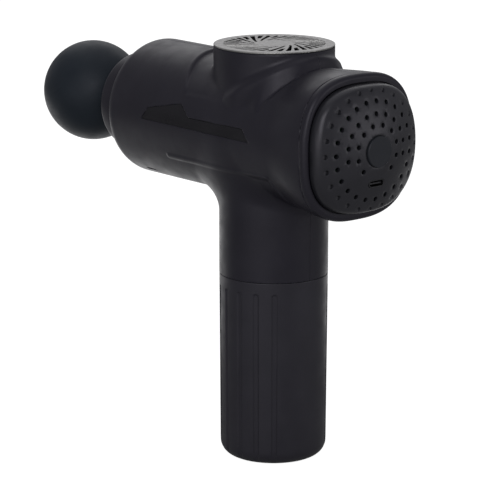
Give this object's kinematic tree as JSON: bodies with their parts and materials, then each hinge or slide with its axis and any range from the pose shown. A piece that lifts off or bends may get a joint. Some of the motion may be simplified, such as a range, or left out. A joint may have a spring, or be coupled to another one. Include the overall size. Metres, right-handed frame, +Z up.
{
  "type": "massage gun",
  "caption": "Handheld percussion massager with a round head, a horizontal barrel on an upright fluted grip, a vented top disc and a perforated rear cover.",
  "frame": {"origin": "centre of the flat underside of the handle", "axes": "+X along the barrel towards the massage head, +Y to the gun's left side, +Z up the handle"},
  "size_m": [0.2355, 0.0668, 0.1967],
  "materials": {
    "body_shell": "soft-touch matte",
    "grip_rubber": "moulded matte",
    "head_rubber": "moulded matte",
    "rear_plastic": "satin",
    "button_plastic": "matte",
    "panel_gloss": "gloss",
    "disc_metal": "satin spun",
    "seal_rubber": "matte",
    "frame_alloy": "cast",
    "moving_alloy": "machined",
    "steel": "ground",
    "dark_steel": "blackened",
    "motor_steel": "laminated",
    "slide_plastic": "turned",
    "copper_wire": "enamelled",
    "fan_plastic": "moulded",
    "inner_plastic": "moulded",
    "cell_wrap": "wrapped cell",
    "board_green": "solder mask",
    "component_black": "moulded",
    "wire_sleeve": "smooth"
  },
  "bodies": {
    "housing": {"battery_cells": "cell_wrap", "battery_lead": "wire_sleeve", "board_bracket": "inner_plastic", "board_components": "component_black", "board_screws": "steel", "button_switch": "component_black", "cell_holder_lower": "inner_plastic", "cell_holder_upper": "inner_plastic", "cell_links": "steel", "charging_port": "dark_steel", "control_board": "board_green", "disc_gasket": "seal_rubber", "drive_frame": "frame_alloy", "foot_cap": "body_shell", "foot_pad": "seal_rubber", "foot_screws": "steel", "frame_dampers": "seal_rubber", "frame_screws": "steel", "grip_sleeve": "grip_rubber", "guide_bush": "slide_plastic", "housing_left": "body_shell", "housing_right": "body_shell", "housing_screws": "steel", "motor_bearings": "steel", "motor_leads": "wire_sleeve", "nose_ring": "body_shell", "nose_seal": "seal_rubber", "protection_board": "board_green", "rear_cover": "rear_plastic", "rear_rim": "body_shell", "rim_screws": "steel", "screw_caps": "body_shell", "side_panel_left": "panel_gloss", "side_panel_right": "panel_gloss", "stator_core": "motor_steel", "stator_windings": "copper_wire", "top_disc": "disc_metal"},
    "crank": {"motor_shaft": "steel", "crank_weight": "steel", "crank_pin": "steel", "rotor_bell": "motor_steel", "rotor_magnets": "motor_steel", "cooling_fan": "fan_plastic"},
    "roller": {"pin_roller": "steel"},
    "piston": {"piston_rod": "slide_plastic", "crank_yoke": "moving_alloy", "yoke_pin": "steel"},
    "head": {"head_stem": "inner_plastic", "stem_rings": "seal_rubber", "massage_ball": "head_rubber"},
    "button": {"power_button": "button_plastic"}
  },
  "joints": [
    {"name": "crank_spin", "type": "hinge", "parent": "housing", "child": "crank", "pos_m": [0, 0, 0.163], "axis": [0, 0, 1], "range_deg": [0, 180]},
    {"name": "roller_spin", "type": "hinge", "parent": "crank", "child": "roller", "pos_m": [-0.006, 0, 0.1565], "axis": [0, 0, 1], "continuous": true},
    {"name": "piston_stroke", "type": "slide", "parent": "housing", "child": "piston", "axis": [1, 0, 0], "range_m": [0, 0.012]},
    {"name": "head_release", "type": "slide", "parent": "piston", "child": "head", "axis": [1, 0, 0], "range_m": [0, 0.03]},
    {"name": "button_press", "type": "slide", "parent": "housing", "child": "button", "axis": [1, 0, 0], "range_m": [0, 0.0008], "stiffness_N_per_m": 1500, "springref_m": -0.0004}
  ],
  "couplings": [
    {"joint": "piston_stroke", "follows": "crank_spin", "m_per_rad": 0.0038197}
  ]
}
